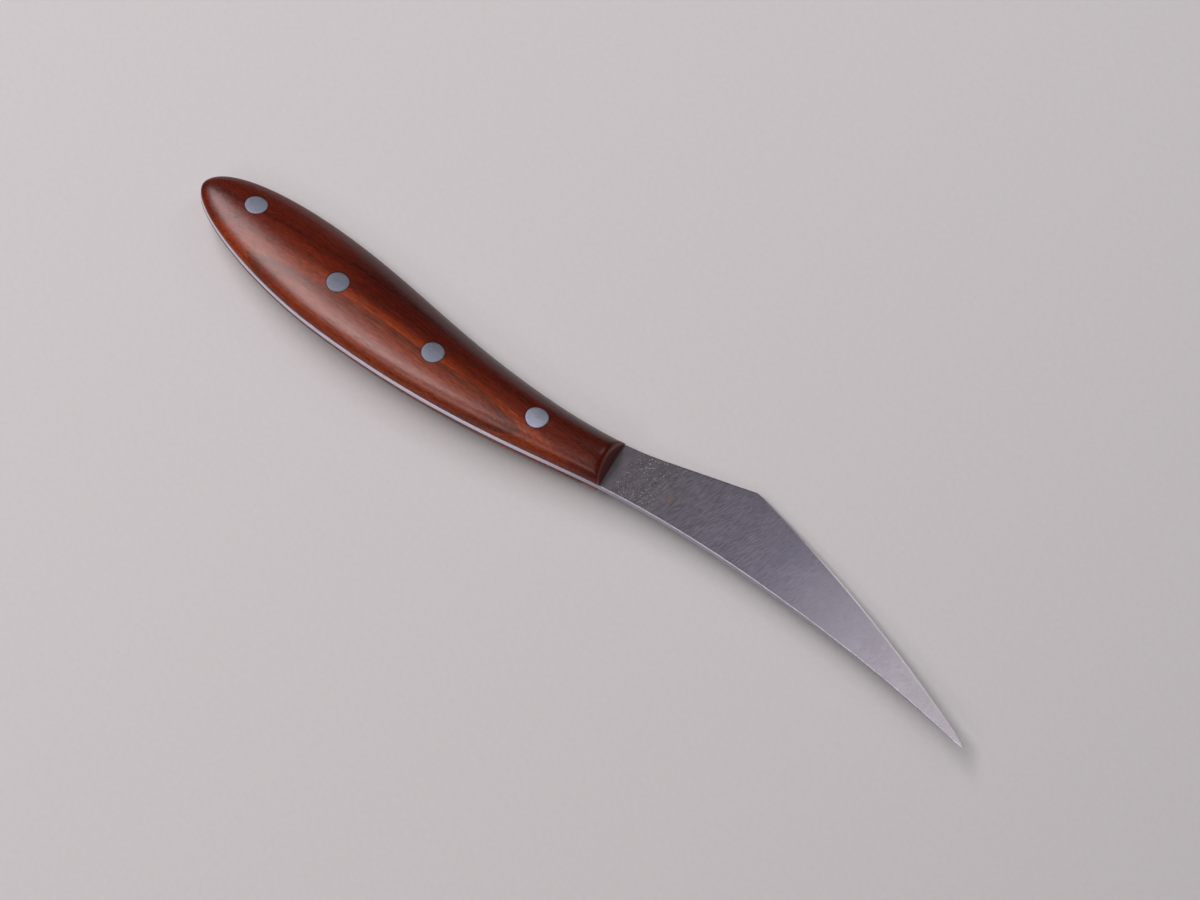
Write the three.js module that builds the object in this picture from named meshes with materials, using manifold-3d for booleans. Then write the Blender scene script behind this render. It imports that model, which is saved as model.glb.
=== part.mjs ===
// Chip carving knife: a full-tang blade between two wooden scales, held by four flush through pins.
//
// Units are millimetres. While the pieces are made, X runs from the butt (0) towards the tip, +Y is the
// cutting-edge side and the middle of the steel is at Z = 0. At the end the knife is rolled onto the
// gentler finger side of its lower scale, as its own weight rolls it on a table, and the origin goes to
// the middle of the bottom of its bounding box.

import * as THREE from "three";
import { mergeVertices } from "three/addons/utils/BufferGeometryUtils.js";
import Module from "manifold-3d";

// Lengths along the knife
const HANDLE_LENGTH = 107; // butt to the front end of the scales, on the spine side
const NECK_LENGTH = 24.6; // front of the scales to the heel of the cutting edge
const HEEL_CHAMFER = 2.2; // short flat between the neck and the cutting edge
const EDGE_LENGTH = 63.5; // cutting edge, measured along X
const NOSE_LENGTH = 1.2; // small rounded nose at the very tip

// Handle outline: distances from the butt and depths from the datum line through the butt
const BELLY_AT = 39; // deepest place of the palm side
const BELLY_DEPTH = 11.5;
const BACK_AT = 33; // widest place of the edge side
const BACK_DEPTH = 10.05;
const WAIST_AT = 78; // narrow place for the index finger
const WAIST_DEPTH = 7.6;

// Blade outline, measured from the same datum line
const SPINE_START_Y = -1.2; // spine where it leaves the scales
const SPINE_START_SLOPE = 0.2;
const SPINE_CREST_RUN = 54; // from the front of the scales to the highest place of the spine
const SPINE_CREST_Y = 3.3;
const HEEL_Y = 19.65;
const EDGE_START_Y = 19.45;
const EDGE_END_Y = 2.3;
const TIP_Y = 1.25;
const NECK_BEND_RUN = 7; // from the front of the scales to where the neck runs straight
const NECK_SLOPE = 0.383;
const EDGE_START_SLOPE = -0.165;
const EDGE_END_SLOPE = -0.375;
const SPINE_END_SLOPE = -0.07;

// Steel
const STOCK_THICKNESS = 1.3;
const GRIND_WIDTH = 17.5; // how far the convex flat grind reaches in from the cutting edge
const EDGE_THICKNESS = 0.1; // steel left at the cutting edge

// Scales and the epoxy that beds them
const FILM_THICKNESS = 0.1;
const FILM_CLEARANCE = 0.02; // on each face of a film
const SCALE_THICKNESS = 4.76; // at the crest of the crown
const CREST_AT = 60;
const BUTT_SHOULDER_AT = 12.8; // where the rounding of the butt ends
const BUTT_SHOULDER_THICKNESS = 2.65;
const FRONT_THICKNESS = 4;
const CREST_SHIFT = 0.11; // the crest lies towards the palm side by this share of the half width
const PALM_FULLNESS = 0.5; // power of the crown's section: 0.5 is a quarter ellipse, 1 a parabola
const FINGER_FULLNESS = 0.75;
const FRONT_SKEW = 2.5; // how far back the front ends of the scales are on the edge side
const FRONT_LEAN = THREE.MathUtils.degToRad(19.3); // the front ends lean back towards the butt

// Pins
const PIN_DIAMETER = 4.76;
const PIN_CLEARANCE = 0.05; // all round, in the tang, the films and the scales
const FIRST_PIN_AT = 12.6; // from the butt
const LAST_PIN_INSET = 18.2; // from the front end of the scales
const PIN_OFFSETS = [1.6, -1.4, -1.15, -0.7]; // hand-drilled, so each is a little off the mid-line

// How the knife lies: rolled about its long axis until the cutting edge's side is the lower one
const RESTING_ROLL = THREE.MathUtils.degToRad(11.5);

// Fineness of the faceting
const HANDLE_STATIONS = 34;
const NECK_STATIONS = 6;
const EDGE_STATIONS = 22;
const NOSE_STATIONS = 4;
const CROWN_STEPS = 20;
const FACE_STEPS = 8;
const PIN_SIDES = 32;

const HEEL_X = HANDLE_LENGTH + NECK_LENGTH;
const EDGE_START_X = HEEL_X + HEEL_CHAMFER;
const EDGE_END_X = EDGE_START_X + EDGE_LENGTH;
const TIP_X = EDGE_END_X + NOSE_LENGTH;
const HALF_STOCK = STOCK_THICKNESS / 2;
const FILM_TOP = HALF_STOCK + FILM_CLEARANCE + FILM_THICKNESS;
const SCALE_FOOT = FILM_TOP + FILM_CLEARANCE;
const PIN_RADIUS = PIN_DIAMETER / 2;
const BEYOND = 10; // how far cutting tools run past the work

const wasm = await Module();
wasm.setup();

// ---- Curves that are read by their X ----

// A cubic curve between two places. Each has a slope, and a reach: how far in X its pull on the curve goes.
// A place where the outline stands upright has a pull instead, the height that its pull goes to.
function flow(from, to) {
  const leave = from.pull === undefined
    ? new THREE.Vector2(from.x + from.reach, from.y + from.reach * (from.slope ?? 0))
    : new THREE.Vector2(from.x, from.pull);
  const arrive = to.pull === undefined
    ? new THREE.Vector2(to.x - to.reach, to.y - to.reach * (to.slope ?? 0))
    : new THREE.Vector2(to.x, to.pull);
  return new THREE.CubicBezierCurve(
    new THREE.Vector2(from.x, from.y),
    leave,
    arrive,
    new THREE.Vector2(to.x, to.y),
  );
}

function line(from, to) {
  return new THREE.LineCurve(new THREE.Vector2(...from), new THREE.Vector2(...to));
}

// The height of a chain of curves at x. Every curve runs in +X, so halving its parameter finds the place.
function heightAt(chain, x) {
  const curve = chain.find((piece) => x <= piece.getPoint(1).x) ?? chain.at(-1);
  let low = 0;
  let high = 1;
  for (let halving = 0; halving < 40; halving++) {
    const middle = (low + high) / 2;
    if (curve.getPoint(middle).x < x) low = middle;
    else high = middle;
  }
  return curve.getPoint(high).y;
}

// Palm side of the handle, then the spine of the blade: a deep belly that sweeps up to a gentle crest.
const spineCrestX = HANDLE_LENGTH + SPINE_CREST_RUN;
const belly = { x: BELLY_AT, y: -BELLY_DEPTH };
const spineStart = { x: HANDLE_LENGTH, y: SPINE_START_Y, slope: SPINE_START_SLOPE };
const spineCrest = { x: spineCrestX, y: SPINE_CREST_Y };
const tip = { x: TIP_X, y: TIP_Y };
const spineSide = [
  flow({ x: 0, y: 0, pull: -6.1 }, { ...belly, reach: 16.7 }),
  flow({ ...belly, reach: 32 }, { ...spineStart, reach: 14.4 }),
  flow({ ...spineStart, reach: 18 }, { ...spineCrest, reach: 18.4 }),
  flow({ ...spineCrest, reach: 19 }, { ...tip, slope: SPINE_END_SLOPE, reach: 8.5 }),
];

// Edge side of the handle and the neck, which rises in a straight line to the heel.
const neckBendX = HANDLE_LENGTH + NECK_BEND_RUN;
const neckBendY = HEEL_Y - NECK_SLOPE * (HEEL_X - neckBendX);
const back = { x: BACK_AT, y: BACK_DEPTH };
const waist = { x: WAIST_AT, y: WAIST_DEPTH };
const edgeSide = [
  flow({ x: 0, y: 0, pull: 5.8 }, { ...back, reach: 20 }),
  flow({ ...back, reach: 15.7 }, { ...waist, reach: 17.3 }),
  flow({ ...waist, reach: 17.7 }, { x: neckBendX, y: neckBendY, slope: NECK_SLOPE, reach: 8.2 }),
  line([neckBendX, neckBendY], [HEEL_X, HEEL_Y]),
  line([HEEL_X, HEEL_Y], [EDGE_START_X, EDGE_START_Y]),
];

// Cutting edge, slightly convex, ending in the rounded nose of the tip.
const edgeStart = { x: EDGE_START_X, y: EDGE_START_Y, slope: EDGE_START_SLOPE };
const edgeEnd = { x: EDGE_END_X, y: EDGE_END_Y, slope: EDGE_END_SLOPE };
const cuttingEdge = [
  flow({ ...edgeStart, reach: EDGE_LENGTH / 3 }, { ...edgeEnd, reach: EDGE_LENGTH / 3 }),
  flow({ ...edgeEnd, reach: NOSE_LENGTH / 2 }, { ...tip, pull: TIP_Y + NOSE_LENGTH / 2 }),
];

// Crest of a scale's crown, as a thickness above the epoxy film.
const shoulder = { x: BUTT_SHOULDER_AT, y: BUTT_SHOULDER_THICKNESS, slope: 0.1 };
const crownTop = { x: CREST_AT, y: SCALE_THICKNESS };
const crownCrest = [
  flow({ x: 0, y: 0, pull: 1.4 }, { ...shoulder, reach: 6.3 }),
  flow({ ...shoulder, reach: 14.2 }, { ...crownTop, reach: 18 }),
  flow({ ...crownTop, reach: 20 }, { x: HANDLE_LENGTH, y: FRONT_THICKNESS, slope: -0.02, reach: 17 }),
];

const spineY = (x) => heightAt(spineSide, x);
const outerY = (x) => heightAt([...edgeSide, ...cuttingEdge], x);

// Half the steel's thickness: full stock in the tang and the flat by the handle, and a convex grind that
// thins it to the cutting edge. Over the neck the edge is carried on in a straight line.
function steelHalfThickness(x, y) {
  const edgeY = x < EDGE_START_X ? EDGE_START_Y + EDGE_START_SLOPE * (x - EDGE_START_X) : outerY(x);
  const reach = THREE.MathUtils.clamp((edgeY - y) / GRIND_WIDTH, 0, 1);
  const fullness = 1 - (1 - reach) ** 2;
  return EDGE_THICKNESS / 2 + (HALF_STOCK - EDGE_THICKNESS / 2) * fullness;
}

// ---- Solids ----

function toSolid(geometry) {
  const bare = geometry.clone();
  bare.deleteAttribute("normal");
  bare.deleteAttribute("uv");
  const merged = mergeVertices(bare, 1e-5);
  const corners = merged.index.array;
  const triangles = [];
  for (let i = 0; i < corners.length; i += 3) {
    const [a, b, c] = corners.slice(i, i + 3);
    if (a !== b && b !== c && c !== a) triangles.push(a, b, c);
  }
  const mesh = new wasm.Mesh({
    numProp: 3,
    vertProperties: new Float32Array(merged.attributes.position.array),
    triVerts: Uint32Array.from(triangles),
  });
  return new wasm.Manifold(mesh);
}

function toGeometry(solid) {
  const mesh = solid.getMesh();
  const geometry = new THREE.BufferGeometry();
  geometry.setAttribute("position", new THREE.BufferAttribute(mesh.vertProperties, 3));
  geometry.setIndex(new THREE.BufferAttribute(mesh.triVerts, 1));
  geometry.computeVertexNormals();
  return geometry;
}

// A closed skin through equal rings of points, one ring per station. The first and last rings are
// filled by a fan, which vanishes where a ring has shrunk to a line or a point.
function loft(rings) {
  const count = rings[0].length;
  const positions = rings.flat(2);
  const index = [];
  for (let r = 0; r + 1 < rings.length; r++) {
    for (let k = 0; k < count; k++) {
      const here = r * count + k;
      const beside = r * count + ((k + 1) % count);
      index.push(here, here + count, beside, beside, here + count, beside + count);
    }
  }
  const last = (rings.length - 1) * count;
  for (let k = 1; k + 1 < count; k++) {
    index.push(0, k, k + 1);
    index.push(last, last + k + 1, last + k);
  }
  const geometry = new THREE.BufferGeometry();
  geometry.setAttribute("position", new THREE.Float32BufferAttribute(positions, 3));
  geometry.setIndex(index);
  return toSolid(geometry);
}

// Stations crowd together at the butt, where the outline turns quickly.
function handleStations(reach) {
  const stations = [];
  for (let i = 0; i <= HANDLE_STATIONS; i++) stations.push(reach * (i / HANDLE_STATIONS) ** 1.8);
  return stations;
}

function evenStations(from, to, steps) {
  return Array.from({ length: steps }, (_, i) => THREE.MathUtils.lerp(from, to, (i + 1) / steps));
}

// Ring round the steel at x: over the upper face from the spine to the edge, and back underneath.
function steelRing(x) {
  const from = spineY(x);
  const to = outerY(x);
  const upper = [];
  for (let i = 0; i <= FACE_STEPS; i++) {
    const y = THREE.MathUtils.lerp(from, to, i / FACE_STEPS);
    upper.push([x, y, steelHalfThickness(x, y)]);
  }
  const lower = upper.map(([px, py, pz]) => [px, py, -pz]).reverse();
  return [...upper, ...lower];
}

// Ring round the whole handle at x: upright flanks beside the steel and films, and a crown on each face.
// The crown is full on the palm side of its crest and slopes more gently down to the finger side.
function handleRing(x) {
  const palm = spineY(x);
  const finger = outerY(x);
  const crest = (palm + finger) / 2 - (CREST_SHIFT * (finger - palm)) / 2;
  const rise = heightAt(crownCrest, x);
  const upper = [];
  for (let i = 0; i <= CROWN_STEPS; i++) {
    const across = -Math.cos((Math.PI * i) / CROWN_STEPS);
    const y = crest + across * (across < 0 ? crest - palm : finger - crest);
    const fullness = across < 0 ? PALM_FULLNESS : FINGER_FULLNESS;
    upper.push([x, y, SCALE_FOOT + rise * Math.max(0, 1 - across ** 2) ** fullness]);
  }
  const lower = upper.map(([px, py, pz]) => [px, py, -pz]).reverse();
  return [...upper, ...lower];
}

// A block that takes everything between two heights, over the whole knife.
function layer(bottom, top) {
  const length = TIP_X + 2 * BEYOND;
  const width = 2 * (HEEL_Y + BELLY_DEPTH);
  const block = new THREE.BoxGeometry(length, width, top - bottom);
  block.translate(TIP_X / 2, 0, (bottom + top) / 2);
  return toSolid(block);
}

// A block whose rear face is the front cut of the handle. The cut stands on the line across the steel,
// skewed back on the edge side, and leans back from height z by the given angle.
function frontCutter(lean, z) {
  const size = HANDLE_LENGTH;
  const skew = Math.atan2(FRONT_SKEW, outerY(HANDLE_LENGTH) - SPINE_START_Y);
  const block = new THREE.BoxGeometry(size, size, size);
  block.translate(size / 2, 0, 0);
  block.rotateY(-lean);
  block.rotateZ(skew);
  block.translate(HANDLE_LENGTH, SPINE_START_Y, z);
  return toSolid(block);
}

// The pins are spread evenly between the first and the last.
function pinCylinder(number, radius) {
  const spacing = (HANDLE_LENGTH - LAST_PIN_INSET - FIRST_PIN_AT) / (PIN_OFFSETS.length - 1);
  const x = FIRST_PIN_AT + number * spacing;
  const y = (spineY(x) + outerY(x)) / 2 + PIN_OFFSETS[number];
  const height = 2 * (SCALE_FOOT + SCALE_THICKNESS) + BEYOND;
  const cylinder = new THREE.CylinderGeometry(radius, radius, height, PIN_SIDES);
  cylinder.rotateX(Math.PI / 2);
  cylinder.translate(x, y, 0);
  return toSolid(cylinder);
}

function drilled(solid) {
  return PIN_OFFSETS.reduce(
    (work, _, number) => work.subtract(pinCylinder(number, PIN_RADIUS + PIN_CLEARANCE)),
    solid,
  );
}

const handleBody = loft(handleStations(HANDLE_LENGTH + BEYOND / 2).map(handleRing));

function bladeAndTang() {
  const stations = [
    ...handleStations(HANDLE_LENGTH + BEYOND / 2),
    ...evenStations(HANDLE_LENGTH + BEYOND / 2, HEEL_X, NECK_STATIONS),
    EDGE_START_X,
    ...evenStations(EDGE_START_X, EDGE_END_X, EDGE_STATIONS),
    ...evenStations(EDGE_END_X, TIP_X, NOSE_STATIONS),
  ];
  return drilled(loft(stations.map(steelRing)));
}

function upperScale() {
  const blank = handleBody.intersect(layer(SCALE_FOOT, SCALE_FOOT + SCALE_THICKNESS + BEYOND));
  return drilled(blank.subtract(frontCutter(FRONT_LEAN, SCALE_FOOT)));
}

function lowerScale() {
  const blank = handleBody.intersect(layer(-SCALE_FOOT - SCALE_THICKNESS - BEYOND, -SCALE_FOOT));
  return drilled(blank.subtract(frontCutter(-FRONT_LEAN, -SCALE_FOOT)));
}

function film(bottom, top) {
  return drilled(handleBody.intersect(layer(bottom, top)).subtract(frontCutter(0, 0)));
}

// A pin's ends are dressed flush with the crowns.
function pin(number) {
  return pinCylinder(number, PIN_RADIUS).intersect(handleBody);
}

// ---- The knife ----

const finishes = {
  steel: { color: 0x8c8b90, roughness: 0.38, metalness: 1 },
  wood: { color: 0x6b2a17, roughness: 0.42, metalness: 0 },
  epoxy: { color: 0x2a1a14, roughness: 0.5, metalness: 0 },
  pin: { color: 0x8f969f, roughness: 0.35, metalness: 1 },
};

const knife = new THREE.Group();

function add(name, solid, finish) {
  const mesh = new THREE.Mesh(toGeometry(solid), new THREE.MeshStandardMaterial(finish));
  mesh.name = name;
  knife.add(mesh);
}

add("blade_and_tang", bladeAndTang(), finishes.steel);
add("bond_film_upper", film(FILM_TOP - FILM_THICKNESS, FILM_TOP), finishes.epoxy);
add("bond_film_lower", film(-FILM_TOP, FILM_THICKNESS - FILM_TOP), finishes.epoxy);
add("handle_scale_upper", upperScale(), finishes.wood);
add("handle_scale_lower", lowerScale(), finishes.wood);
PIN_OFFSETS.forEach((_, number) => add(`handle_pin_${number + 1}`, pin(number), finishes.pin));

// Roll the knife to the way it lies, and move the origin to the middle of its bottom.
knife.rotation.x = -RESTING_ROLL;
const box = new THREE.Box3().setFromObject(knife, true);
const middle = box.getCenter(new THREE.Vector3());
knife.position.set(-middle.x, -middle.y, -box.min.z);

export default knife;
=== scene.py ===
# The looks of a chip carving knife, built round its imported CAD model.
#
# Shapes are worked out in the knife's own drawing frame, in millimetres: X runs from the butt (0) towards
# the tip, +Y is the cutting edge's side and Z = 0 is the middle of the steel. place() turns them into the
# CAD frame, in metres, where the knife lies rolled on the floor.

import math

import bmesh
import bpy
import numpy as np
from mathutils import Matrix, Vector


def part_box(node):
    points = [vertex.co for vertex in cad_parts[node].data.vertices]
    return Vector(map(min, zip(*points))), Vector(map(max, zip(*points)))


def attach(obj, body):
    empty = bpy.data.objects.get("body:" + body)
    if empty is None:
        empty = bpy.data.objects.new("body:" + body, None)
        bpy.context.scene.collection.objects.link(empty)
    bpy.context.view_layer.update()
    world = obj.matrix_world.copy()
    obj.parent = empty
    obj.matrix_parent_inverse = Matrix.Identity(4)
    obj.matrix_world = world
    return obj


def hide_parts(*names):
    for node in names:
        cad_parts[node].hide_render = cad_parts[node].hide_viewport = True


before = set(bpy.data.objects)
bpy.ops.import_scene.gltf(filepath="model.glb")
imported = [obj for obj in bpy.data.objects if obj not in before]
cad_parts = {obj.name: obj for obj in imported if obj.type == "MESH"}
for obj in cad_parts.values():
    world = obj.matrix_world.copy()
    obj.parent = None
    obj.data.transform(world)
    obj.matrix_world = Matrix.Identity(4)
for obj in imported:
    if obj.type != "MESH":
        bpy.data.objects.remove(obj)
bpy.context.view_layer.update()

# ---- Sizes of the knife, in millimetres, as the CAD model has them ----

HANDLE_LENGTH = 107
NECK_LENGTH = 24.6
HEEL_CHAMFER = 2.2
EDGE_LENGTH = 63.5
NOSE_LENGTH = 1.2
BUTT_PALM_BULGE, BUTT_FINGER_BULGE, BUTT_CROWN_BULGE = 6.1, 5.8, 1.4
BELLY_AT, BELLY_DEPTH = 39, 11.5
BACK_AT, BACK_DEPTH = 33, 10.05
WAIST_AT, WAIST_DEPTH = 78, 7.6
SPINE_START_Y, SPINE_CREST_RUN, SPINE_CREST_Y = -1.2, 54, 3.3
HEEL_Y, EDGE_START_Y, EDGE_END_Y, TIP_Y = 19.65, 19.45, 2.3, 1.25
NECK_BEND_RUN, NECK_SLOPE = 7, 0.383
EDGE_START_SLOPE, EDGE_END_SLOPE = -0.165, -0.375
SPINE_START_SLOPE, SPINE_END_SLOPE = 0.2, -0.07
STOCK_THICKNESS = 1.3
GRIND_WIDTH = 17.5
EDGE_THICKNESS = 0.1
FILM_THICKNESS = 0.1
FILM_CLEARANCE = 0.02
SCALE_THICKNESS, CREST_AT = 4.76, 60
BUTT_SHOULDER_AT, BUTT_SHOULDER_THICKNESS, BUTT_SHOULDER_SLOPE = 12.8, 2.65, 0.1
FRONT_THICKNESS, FRONT_SLOPE = 4, -0.02
CREST_SHIFT = 0.11
PALM_FULLNESS, FINGER_FULLNESS = 0.5, 0.75
FRONT_SKEW, FRONT_LEAN = 2.5, math.radians(19.3)
PIN_RADIUS, PIN_CLEARANCE = 2.38, 0.05
FIRST_PIN_AT, LAST_PIN_INSET = 12.6, 18.2
PIN_OFFSETS = (1.6, -1.4, -1.15, -0.7)
RESTING_ROLL = math.radians(11.5)

HEEL_X = HANDLE_LENGTH + NECK_LENGTH
EDGE_START_X = HEEL_X + HEEL_CHAMFER
EDGE_END_X = EDGE_START_X + EDGE_LENGTH
TIP_X = EDGE_END_X + NOSE_LENGTH
HALF_STOCK = STOCK_THICKNESS / 2
FILM_TOP = HALF_STOCK + FILM_CLEARANCE + FILM_THICKNESS
SCALE_FOOT = FILM_TOP + FILM_CLEARANCE

# Fine shapes that the CAD model leaves out
ARRIS = 0.16  # rounding of the steel's long edges
HONE_WIDTH = 0.34  # small bright bevel along the cutting edge
HONE_LEAD = 1  # how far before the heel the hone begins
HONED_EDGE = 0.02  # half the steel left at the very edge and at the tip
RIM_SOFTNESS = 1.3  # rounding where a scale's crown meets its front end
RIM_SHARE = 0.4  # the most of a front facet's height that its rounding takes
SMALL_SHARE = 0.2  # the most of the steel's width that an arris or the hone takes
THIN_SHARE = 0.8  # the most of half the steel's thickness that an arris takes
PIN_SOFTNESS = 0.12  # rounding of a pin's rim
PIN_DISHING = 0.5  # how much of that rounding lowers the rim
FILM_INSET = 0.03  # how far the glue stands back from the sides
TARNISH = (119.5, 6.2, 0.65)  # a faint rusty spot on the flat of the blade
BUTT_CURL = (9.0, -2.6, 3.0)  # middle of a growth ring that curls round the near side of the butt

# Fineness
CURVE_STEPS = 2001
HANDLE_STATIONS = 200
BUTT_CROWDING = 1.8  # stations stand closer together towards the round butt
NECK_BLEND = 5  # how far past the handle the stations of the handle run on
NECK_STATIONS, CHAMFER_STATIONS, NOSE_STATIONS = 40, 8, 14
CROWN_STEPS = 96
BLADE_STATIONS = 180
FACE_STEPS = 34
ARRIS_STEPS = 4
RIM_STEPS, FACET_STEPS = 6, 8
PIN_SIDES = 72
PIN_FACE_STEPS, PIN_RIM_STEPS = 7, 4
SETTLING_ROUNDS = 20
NO_HEIGHT = 1e-9  # stands in for a facet of no height at the sides of a scale


# ---- Curves that are read by their X ----

def chain(*curves):
    """A function y(x) that follows straight lines and cubic curves, each given by its 2 or 4 points."""
    share = np.linspace(0, 1, CURVE_STEPS)[:, None]
    line = []
    for curve in curves:
        rows = [np.array(point, float) for point in curve]
        while len(rows) > 1:
            rows = [(1 - share) * a + share * b for a, b in zip(rows, rows[1:])]
        line.append(rows[0])
    line = np.vstack(line)
    return lambda x: np.interp(x, line[:, 0], line[:, 1])


def from_butt(bulge, knot, reach):
    """A cubic that leaves the butt at 0, 0 square to X and meets a knot."""
    x, y, slope = knot
    return [(0, 0), (0, bulge), (x - reach, y - reach * slope), (x, y)]


def flow(start, reach_on, end, reach_back):
    """A cubic from knot to knot. A knot is an x, a y and a slope, and each reach is measured along X."""
    x, y, slope = start
    end_x, end_y, end_slope = end
    return [(x, y), (x + reach_on, y + reach_on * slope),
            (end_x - reach_back, end_y - reach_back * end_slope), (end_x, end_y)]


belly = (BELLY_AT, -BELLY_DEPTH, 0)
spine_start = (HANDLE_LENGTH, SPINE_START_Y, SPINE_START_SLOPE)
spine_crest = (HANDLE_LENGTH + SPINE_CREST_RUN, SPINE_CREST_Y, 0)
spine_y = chain(
    from_butt(-BUTT_PALM_BULGE, belly, 16.7),
    flow(belly, 32, spine_start, 14.4),
    flow(spine_start, 18, spine_crest, 18.4),
    flow(spine_crest, 19, (TIP_X, TIP_Y, SPINE_END_SLOPE), 8.5),
)

back = (BACK_AT, BACK_DEPTH, 0)
waist = (WAIST_AT, WAIST_DEPTH, 0)
neck_bend_x = HANDLE_LENGTH + NECK_BEND_RUN
neck_bend = (neck_bend_x, HEEL_Y - NECK_SLOPE * (HEEL_X - neck_bend_x), NECK_SLOPE)
edge_start = (EDGE_START_X, EDGE_START_Y, EDGE_START_SLOPE)
edge_end = (EDGE_END_X, EDGE_END_Y, EDGE_END_SLOPE)
outer_y = chain(
    from_butt(BUTT_FINGER_BULGE, back, 20),
    flow(back, 15.7, waist, 17.3),
    flow(waist, 17.7, neck_bend, 8.2),
    [neck_bend[:2], (HEEL_X, HEEL_Y)],
    [(HEEL_X, HEEL_Y), (EDGE_START_X, EDGE_START_Y)],
    flow(edge_start, EDGE_LENGTH / 3, edge_end, EDGE_LENGTH / 3),
    [(EDGE_END_X, EDGE_END_Y),
     (EDGE_END_X + NOSE_LENGTH / 2, EDGE_END_Y + EDGE_END_SLOPE * NOSE_LENGTH / 2),
     (TIP_X, TIP_Y + NOSE_LENGTH / 2), (TIP_X, TIP_Y)],
)

shoulder = (BUTT_SHOULDER_AT, BUTT_SHOULDER_THICKNESS, BUTT_SHOULDER_SLOPE)
crest = (CREST_AT, SCALE_THICKNESS, 0)
crown_rise = chain(
    from_butt(BUTT_CROWN_BULGE, shoulder, 6.3),
    flow(shoulder, 14.2, crest, 18),
    flow(crest, 20, (HANDLE_LENGTH, FRONT_THICKNESS, FRONT_SLOPE), 17),
)

# The front cut of the scales: how far it falls back for each millimetre of Y and of Z
FRONT_FALL_Y = FRONT_SKEW / (float(outer_y(HANDLE_LENGTH)) - SPINE_START_Y)
FRONT_FALL_Z = math.tan(FRONT_LEAN) * math.hypot(1, FRONT_FALL_Y)


def smooth_step(value, low, high):
    share = np.clip((value - low) / (high - low), 0, 1)
    return share * share * (3 - 2 * share)


def steel_half(x, y):
    """Half the steel's thickness: full stock in the tang, thinned by a convex grind to the cutting edge."""
    over_neck = EDGE_START_Y + EDGE_START_SLOPE * (x - EDGE_START_X)
    edge_y = np.where(x < EDGE_START_X, over_neck, outer_y(x))
    reach = np.clip((edge_y - y) / GRIND_WIDTH, 0, 1)
    return EDGE_THICKNESS / 2 + (HALF_STOCK - EDGE_THICKNESS / 2) * (1 - (1 - reach) ** 2)


def crest_line(x):
    """Y of the palm side, of the crown's highest line and of the finger side."""
    palm, finger = spine_y(x), outer_y(x)
    return palm, (palm + finger) / 2 - CREST_SHIFT * (finger - palm) / 2, finger


def crown_point(x, across):
    """Y and Z on the upper scale's crown. across runs from -1 at the palm side to 1 at the finger side."""
    palm, top, finger = crest_line(x)
    y = top + across * np.where(across < 0, top - palm, finger - top)
    fullness = np.where(across < 0, PALM_FULLNESS, FINGER_FULLNESS)
    return y, SCALE_FOOT + crown_rise(x) * np.maximum(0, 1 - across ** 2) ** fullness


def crown_height(x, y):
    """Z of the upper scale's crown over the point x, y."""
    palm, top, finger = crest_line(x)
    across = np.where(y < top, (y - top) / (top - palm), (y - top) / (finger - top))
    return crown_point(x, across)[1]


def front_x(y, z):
    """X of the front cut of the scales, skewed on the edge side and leaning back towards the butt."""
    return HANDLE_LENGTH - FRONT_FALL_Y * (y - SPINE_START_Y) - FRONT_FALL_Z * (z - SCALE_FOOT)


def pin_centre(number):
    spacing = (HANDLE_LENGTH - LAST_PIN_INSET - FIRST_PIN_AT) / (len(PIN_OFFSETS) - 1)
    x = FIRST_PIN_AT + number * spacing
    return x, float(spine_y(x) + outer_y(x)) / 2 + PIN_OFFSETS[number]


# ---- From the drawing frame to the CAD frame ----

# The heel is the blade's furthest point in +Y and its lowest, and the butt is its furthest in -X.
blade_low, blade_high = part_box("blade_and_tang")
ROLL_COS, ROLL_SIN = math.cos(RESTING_ROLL), math.sin(RESTING_ROLL)
heel_half = float(steel_half(HEEL_X, HEEL_Y))
ORIGIN = np.array([
    blade_low.x * 1000,
    blade_high.y * 1000 - (HEEL_Y * ROLL_COS + heel_half * ROLL_SIN),
    blade_low.z * 1000 + (HEEL_Y * ROLL_SIN + heel_half * ROLL_COS),
])


def place(points):
    """Millimetres in the drawing frame to metres in the CAD frame."""
    x, y, z = np.asarray(points, float).reshape(-1, 3).T
    turned = np.column_stack([x, y * ROLL_COS + z * ROLL_SIN, z * ROLL_COS - y * ROLL_SIN])
    return (turned + ORIGIN) / 1000


# ---- Mesh helpers ----

MERGE_DISTANCE = 2e-7  # in metres; a coarser one opens the thin sides of the scales
NO_LENGTH = 1e-8  # in metres; a shorter edge is dissolved
HOLE_OVERSHOOT = 2  # how far the pin holes' cutter stands past the scales


def quads(rows, columns, closed):
    """Faces of a grid of rows by columns of points, going round in its columns when closed."""
    grid = np.arange(rows * columns).reshape(rows, columns)
    beside = np.roll(grid, -1, axis=1)
    if not closed:
        grid, beside = grid[:, :-1], beside[:, :-1]
    faces = np.stack([grid[:-1], grid[1:], beside[1:], beside[:-1]], axis=-1)
    return faces.reshape(-1, 4).tolist()


def make_piece(name, points, faces, materials, indices=None):
    """A closed mesh object from points in the drawing frame. indices gives each face its material."""
    mesh = bpy.data.meshes.new(name)
    mesh.from_pydata(place(points), [], faces)
    for material in materials:
        mesh.materials.append(material)
    if indices is not None:
        mesh.polygons.foreach_set("material_index", indices)
    work = bmesh.new()
    work.from_mesh(mesh)
    bmesh.ops.remove_doubles(work, verts=work.verts, dist=MERGE_DISTANCE)
    bmesh.ops.dissolve_degenerate(work, dist=NO_LENGTH, edges=work.edges)
    bmesh.ops.recalc_face_normals(work, faces=work.faces)
    work.to_mesh(mesh)
    work.free()
    piece = bpy.data.objects.new(name, mesh)
    bpy.context.scene.collection.objects.link(piece)
    return piece


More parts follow.
